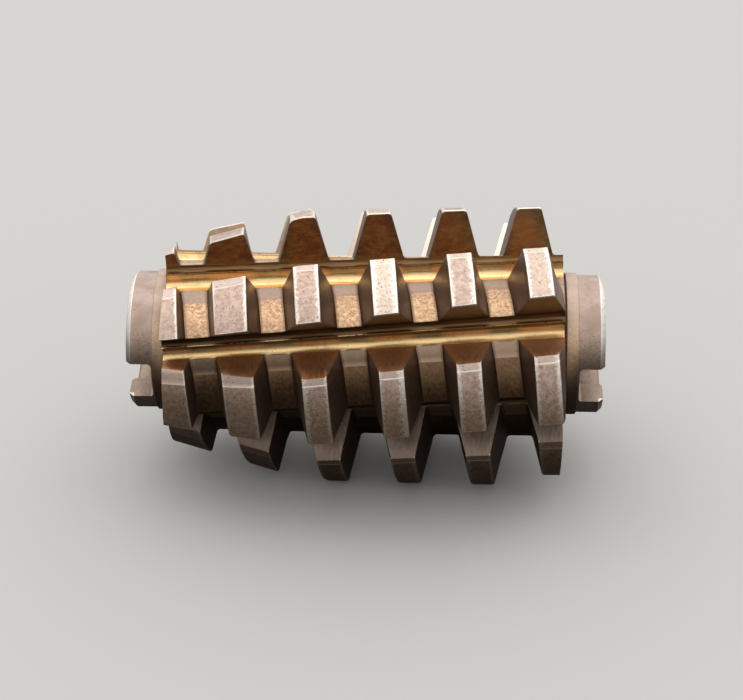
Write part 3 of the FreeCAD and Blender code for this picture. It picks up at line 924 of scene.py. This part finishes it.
# -------------------------------------------------------- camera, floor and light

camera_data = bpy.data.cameras.new("camera")
camera = bpy.data.objects.new("camera", camera_data)
bpy.context.scene.collection.objects.link(camera)
bpy.context.scene.camera = camera
camera_data.sensor_width = 36.0
camera_data.lens = 105.12
camera_data.clip_start = 0.01
right = Vector((0.99924, 0.03810, -0.00801))
down = Vector((0.01165, -0.48897, -0.87222))
ahead = Vector((-0.03714, 0.87147, -0.48904))
facing = Matrix((right, -down, -ahead)).transposed()
camera_at = Vector((21.80, -486.78, 270.55)) * MM
camera.matrix_world = Matrix.LocRotScale(camera_at, facing.to_quaternion(), None)

# The floor looks pale, and throws back little light in front and more behind.
FLOOR_Z = -34.70 * MM
REACH = 4.0
SEEN = (0.42, 0.415, 0.405, 1.0)
BOUNCE_FRONT, BOUNCE_BACK = 0.03, 0.30
floor_mesh = bpy.data.meshes.new("floor")
floor_mesh.from_pydata([(-REACH, -REACH, FLOOR_Z), (REACH, -REACH, FLOOR_Z),
                        (REACH, REACH, FLOOR_Z), (-REACH, REACH, FLOOR_Z)], [], [(0, 1, 2, 3)])
floor = bpy.data.objects.new("floor", floor_mesh)
bpy.context.scene.collection.objects.link(floor)
pale = bpy.data.materials.new("floor")
pale.use_nodes = True
tree = pale.node_tree
surface = tree.nodes["Principled BSDF"]
surface.inputs["Roughness"].default_value = 0.9
surface.inputs["Specular IOR Level"].default_value = 0.2
seen = tree.nodes.new("ShaderNodeLightPath")
tone = tree.nodes.new("ShaderNodeMix")
tone.data_type = "RGBA"
where = tree.nodes.new("ShaderNodeSeparateXYZ")
tree.links.new(tree.nodes.new("ShaderNodeTexCoord").outputs["Object"], where.inputs[0])
bounce = tree.nodes.new("ShaderNodeMapRange")
tree.links.new(where.outputs["Y"], bounce.inputs["Value"])
bounce.inputs["From Min"].default_value = 0.05
bounce.inputs["From Max"].default_value = 0.16
bounce.inputs["To Min"].default_value = BOUNCE_FRONT
bounce.inputs["To Max"].default_value = BOUNCE_BACK
tree.links.new(bounce.outputs["Result"], tone.inputs[6])
tone.inputs[7].default_value = SEEN
tree.links.new(seen.outputs["Is Camera Ray"], tone.inputs[0])
tree.links.new(tone.outputs[2], surface.inputs["Base Color"])
floor_mesh.materials.append(pale)

# Soft studio light: a dome that grows from almost nothing low in front, over the top, to
# the back, with even light from both sides. The camera sees plain pale grey instead.
BACKDROP = 0.85
world = bpy.data.worlds.new("world")
bpy.context.scene.world = world
world.use_nodes = True
sky = world.node_tree


def sky_math(operation, a, b=0.0):
    node = sky.nodes.new("ShaderNodeMath")
    node.operation = operation
    for socket, value in zip(node.inputs, (a, b)):
        if isinstance(value, float):
            socket.default_value = value
        else:
            sky.links.new(value, socket)
    return node.outputs[0]


def sky_ramp(value, low, high, to_low, to_high):
    node = sky.nodes.new("ShaderNodeMapRange")
    node.interpolation_type = "SMOOTHSTEP"
    sky.links.new(value, node.inputs["Value"])
    node.inputs["From Min"].default_value = low
    node.inputs["From Max"].default_value = high
    node.inputs["To Min"].default_value = to_low
    node.inputs["To Max"].default_value = to_high
    return node.outputs["Result"]


direction = sky.nodes.new("ShaderNodeTexCoord")
part = sky.nodes.new("ShaderNodeSeparateXYZ")
sky.links.new(direction.outputs["Generated"], part.inputs[0])
towards_front = sky_math("MULTIPLY", part.outputs["Y"], -1.0)
up_from_front = sky_math("ARCTAN2", part.outputs["Z"], towards_front)
degrees_up = sky_math("MULTIPLY", up_from_front, 180.0 / math.pi)
rise = sky_ramp(degrees_up, -4.0, 44.0, 0.05, 1.45)
crown = sky_ramp(degrees_up, 62.0, 100.0, 0.0, 1.1)
fall = sky_ramp(degrees_up, 105.0, 150.0, 0.0, 0.5)
dome = sky_math("SUBTRACT", sky_math("ADD", rise, crown), fall)
aside = sky_ramp(sky_math("ABSOLUTE", part.outputs["X"]), 0.6, 0.9, 0.0, 1.0)
above = sky_ramp(part.outputs["Z"], -0.05, 0.1, 0.0, 1.0)
level = sky_math("ADD", sky_math("MULTIPLY", dome, sky_math("SUBTRACT", 1.0, aside)), aside)
level = sky_math("MULTIPLY", level, above)
looking = sky.nodes.new("ShaderNodeLightPath")
strength = sky.nodes.new("ShaderNodeMix")
strength.data_type = "FLOAT"
sky.links.new(looking.outputs["Is Camera Ray"], strength.inputs[0])
sky.links.new(level, strength.inputs[2])
strength.inputs[3].default_value = BACKDROP
sky.links.new(strength.outputs[0], sky.nodes["Background"].inputs["Strength"])
sky.nodes["Background"].inputs["Color"].default_value = (0.88, 0.868, 0.858, 1)

bpy.context.scene.view_settings.view_transform = "Standard"
